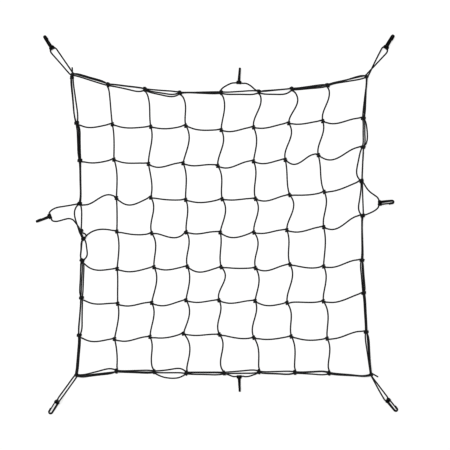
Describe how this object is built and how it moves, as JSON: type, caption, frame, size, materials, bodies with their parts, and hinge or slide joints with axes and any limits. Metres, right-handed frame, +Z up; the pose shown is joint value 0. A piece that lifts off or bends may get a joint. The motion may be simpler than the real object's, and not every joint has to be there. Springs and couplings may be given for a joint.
{
  "type": "cargo net",
  "caption": "Elastic cord cargo net with square knotted cells, a doubled cord edge and loops that carry plastic snap hooks at the corners and edge middles.",
  "frame": {"origin": "on the surface that the net lies on, under the middle of the box round the whole slack net with its hooks", "axes": "+Z up from the surface, +Y towards the back edge and the longest way across the hooks, +X towards the right edge"},
  "size_m": [1.122, 1.1762, 0.0251],
  "materials": {
    "elastic_cord": "braided black synthetic sheath, matt with a faint sheen along the braid",
    "hook_plastic": "moulded black nylon, satin",
    "gate_plastic": "moulded black nylon, satin, a little smoother than the hook"
  },
  "bodies": {
    "net": {"mesh_upright_1": "elastic_cord", "mesh_upright_2": "elastic_cord", "mesh_upright_3": "elastic_cord", "mesh_upright_4": "elastic_cord", "mesh_upright_5": "elastic_cord", "mesh_upright_6": "elastic_cord", "mesh_upright_7": "elastic_cord", "mesh_cross_1": "elastic_cord", "mesh_cross_2": "elastic_cord", "mesh_cross_3": "elastic_cord", "mesh_cross_4": "elastic_cord", "mesh_cross_5": "elastic_cord", "mesh_cross_6": "elastic_cord", "mesh_cross_7": "elastic_cord", "selvedge_back": "elastic_cord", "selvedge_front": "elastic_cord", "selvedge_left": "elastic_cord", "selvedge_right": "elastic_cord", "border_back": "elastic_cord", "border_front": "elastic_cord", "border_left": "elastic_cord", "border_right": "elastic_cord", "hook_cord_back_a": "elastic_cord", "hook_cord_back_b": "elastic_cord", "hook_cord_front_a": "elastic_cord", "hook_cord_front_b": "elastic_cord", "hook_cord_left_a": "elastic_cord", "hook_cord_left_b": "elastic_cord", "hook_cord_right_a": "elastic_cord", "hook_cord_right_b": "elastic_cord", "loop_back": "elastic_cord", "loop_back_left": "elastic_cord", "loop_back_right": "elastic_cord", "loop_front": "elastic_cord", "loop_front_left": "elastic_cord", "loop_front_right": "elastic_cord", "loop_left": "elastic_cord", "loop_right": "elastic_cord", "corner_knot_back_left": "elastic_cord", "corner_knot_back_right": "elastic_cord", "corner_knot_front_left": "elastic_cord", "corner_knot_front_right": "elastic_cord", "hook_back": "hook_plastic", "hook_back_left": "hook_plastic", "hook_back_right": "hook_plastic", "hook_front": "hook_plastic", "hook_front_left": "hook_plastic", "hook_front_right": "hook_plastic", "hook_left": "hook_plastic", "hook_right": "hook_plastic"},
    "gate_back": {"gate_back": "gate_plastic"},
    "gate_back_left": {"gate_back_left": "gate_plastic"},
    "gate_back_right": {"gate_back_right": "gate_plastic"},
    "gate_front": {"gate_front": "gate_plastic"},
    "gate_front_left": {"gate_front_left": "gate_plastic"},
    "gate_front_right": {"gate_front_right": "gate_plastic"},
    "gate_left": {"gate_left": "gate_plastic"},
    "gate_right": {"gate_right": "gate_plastic"}
  },
  "joints": [
    {"name": "gate_back_hinge", "type": "hinge", "parent": "net", "child": "gate_back", "pos_m": [0.06825, 0.44259, 0.0122], "axis": [-0.9976, 0.0698, 0], "range_deg": [0, 14], "stiffness_Nm_per_rad": 0.004, "springref_deg": -8.59},
    {"name": "gate_back_left_hinge", "type": "hinge", "parent": "net", "child": "gate_back_left", "pos_m": [-0.50984, 0.54975, 0.01406], "axis": [-0.7613, -0.4921, 0.4222], "range_deg": [0, 14], "stiffness_Nm_per_rad": 0.004, "springref_deg": -8.59},
    {"name": "gate_back_right_hinge", "type": "hinge", "parent": "net", "child": "gate_back_right", "pos_m": [0.52734, 0.54894, 0.01406], "axis": [-0.776, 0.4685, 0.4222], "range_deg": [0, 14], "stiffness_Nm_per_rad": 0.004, "springref_deg": -8.59},
    {"name": "gate_front_hinge", "type": "hinge", "parent": "net", "child": "gate_front", "pos_m": [0.06913, -0.4756, 0.0122], "axis": [0.9994, 0.0349, 0], "range_deg": [0, 14], "stiffness_Nm_per_rad": 0.004, "springref_deg": -8.59},
    {"name": "gate_front_left_hinge", "type": "hinge", "parent": "net", "child": "gate_front_left", "pos_m": [-0.50022, -0.54918, 0.0132], "axis": [0.2692, -0.3367, 0.9023], "range_deg": [0, 14], "stiffness_Nm_per_rad": 0.004, "springref_deg": -8.59},
    {"name": "gate_front_right_hinge", "type": "hinge", "parent": "net", "child": "gate_front_right", "pos_m": [0.53473, -0.54371, 0.01343], "axis": [0.3865, 0.4341, -0.8137], "range_deg": [0, 14], "stiffness_Nm_per_rad": 0.004, "springref_deg": -8.59},
    {"name": "gate_left_hinge", "type": "hinge", "parent": "net", "child": "gate_left", "pos_m": [-0.52068, 0.02426, 0.01294], "axis": [0.3712, -0.9227, 0.1045], "range_deg": [0, 14], "stiffness_Nm_per_rad": 0.004, "springref_deg": -8.59},
    {"name": "gate_right_hinge", "type": "hinge", "parent": "net", "child": "gate_right", "pos_m": [0.50747, 0.06185, 0.01363], "axis": [-0.0348, 0.7081, 0.7052], "range_deg": [0, 14], "stiffness_Nm_per_rad": 0.004, "springref_deg": -8.59}
  ]
}
